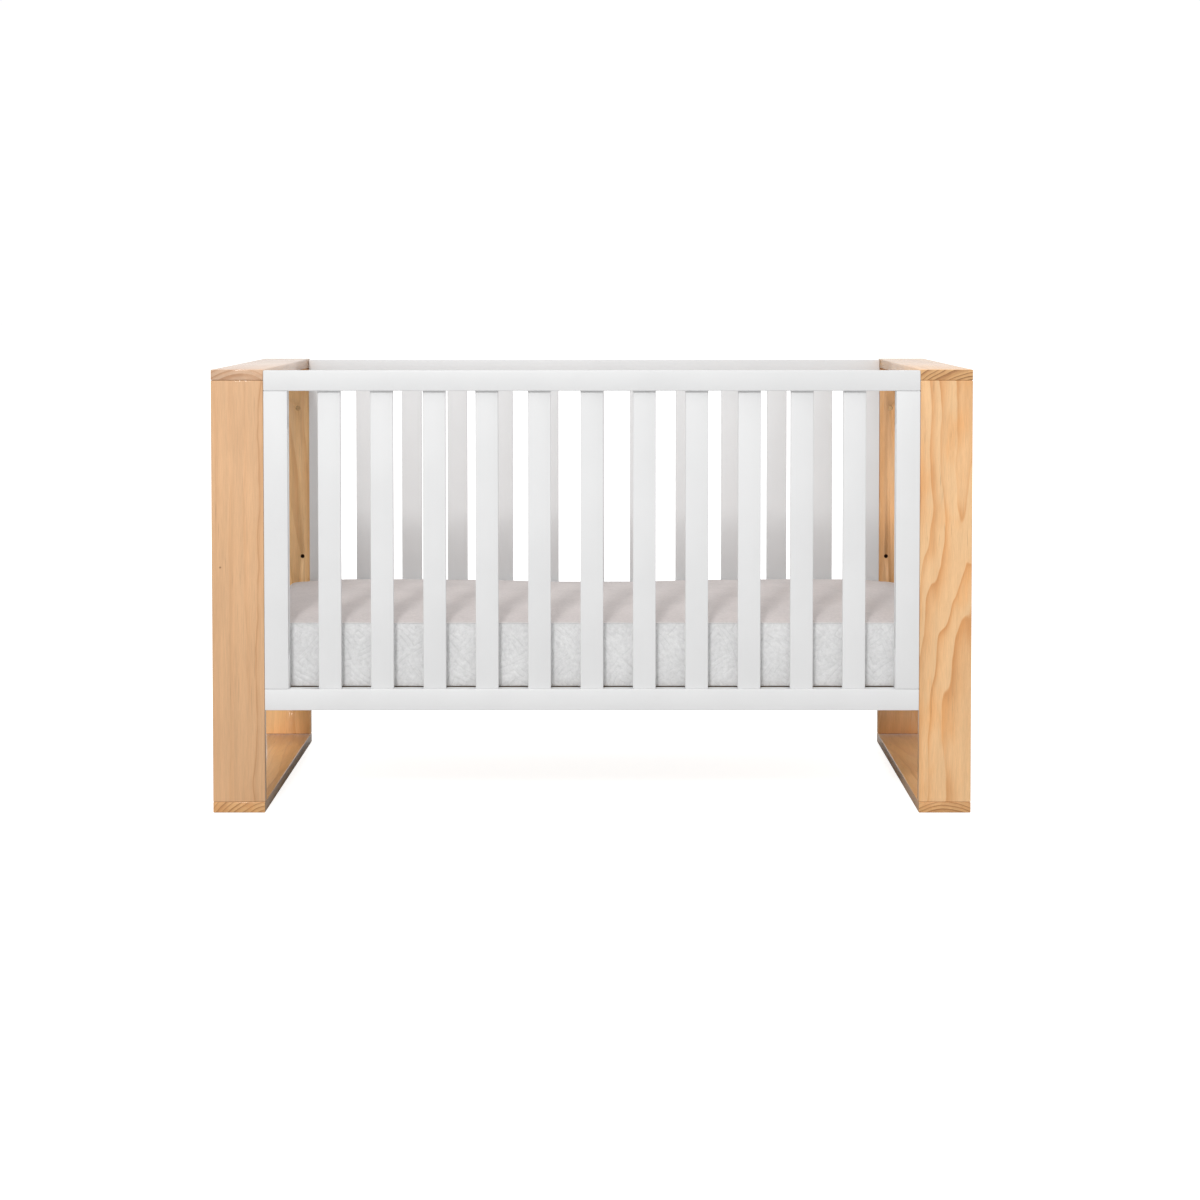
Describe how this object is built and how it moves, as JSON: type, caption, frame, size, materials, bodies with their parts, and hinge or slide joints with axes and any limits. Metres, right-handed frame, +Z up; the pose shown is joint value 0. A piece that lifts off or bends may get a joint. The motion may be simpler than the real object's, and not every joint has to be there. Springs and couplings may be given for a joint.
{
  "type": "baby crib",
  "caption": "Baby crib with rectangular end loops of wide natural pine boards, white slatted sides and ends, a height-adjustable slatted base and a mattress.",
  "frame": {"origin": "on the floor, under the middle of the crib", "axes": "+X along the crib's length to the right, +Y from the front panel to the rear panel, +Z up"},
  "size_m": [1.428, 0.76, 0.836],
  "materials": {
    "pine": "clear satin lacquer",
    "white_paint": "satin white paint",
    "base_pine": "bare, planed",
    "steel": "zinc plated",
    "mattress_fabric": "knitted cover"
  },
  "bodies": {
    "frame": {"front_bottom_rail": "white_paint", "front_left_stile": "white_paint", "front_right_stile": "white_paint", "front_slat_01": "white_paint", "front_slat_02": "white_paint", "front_slat_03": "white_paint", "front_slat_04": "white_paint", "front_slat_05": "white_paint", "front_slat_06": "white_paint", "front_slat_07": "white_paint", "front_slat_08": "white_paint", "front_slat_09": "white_paint", "front_slat_10": "white_paint", "front_slat_11": "white_paint", "front_top_rail": "white_paint", "left_bottom_board": "pine", "left_end_bottom_rail": "white_paint", "left_end_slat_1": "white_paint", "left_end_slat_2": "white_paint", "left_end_slat_3": "white_paint", "left_end_slat_4": "white_paint", "left_end_slat_5": "white_paint", "left_end_slat_6": "white_paint", "left_end_top_rail": "white_paint", "left_front_base_pin": "steel", "left_front_leg": "pine", "left_rear_base_pin": "steel", "left_rear_leg": "pine", "left_top_board": "pine", "rear_bottom_rail": "white_paint", "rear_left_stile": "white_paint", "rear_right_stile": "white_paint", "rear_slat_01": "white_paint", "rear_slat_02": "white_paint", "rear_slat_03": "white_paint", "rear_slat_04": "white_paint", "rear_slat_05": "white_paint", "rear_slat_06": "white_paint", "rear_slat_07": "white_paint", "rear_slat_08": "white_paint", "rear_slat_09": "white_paint", "rear_slat_10": "white_paint", "rear_slat_11": "white_paint", "rear_top_rail": "white_paint", "right_bottom_board": "pine", "right_end_bottom_rail": "white_paint", "right_end_slat_1": "white_paint", "right_end_slat_2": "white_paint", "right_end_slat_3": "white_paint", "right_end_slat_4": "white_paint", "right_end_slat_5": "white_paint", "right_end_slat_6": "white_paint", "right_end_top_rail": "white_paint", "right_front_base_pin": "steel", "right_front_leg": "pine", "right_rear_base_pin": "steel", "right_rear_leg": "pine", "right_top_board": "pine"},
    "base": {"mattress_base": "base_pine"},
    "mattress": {"mattress": "mattress_fabric"}
  },
  "joints": [
    {"name": "base_height", "type": "slide", "parent": "frame", "child": "base", "axis": [0, 0, 1], "range_m": [0, 0.21]},
    {"name": "mattress_lift", "type": "slide", "parent": "base", "child": "mattress", "axis": [0, 0, 1], "range_m": [0, 0.23]}
  ]
}
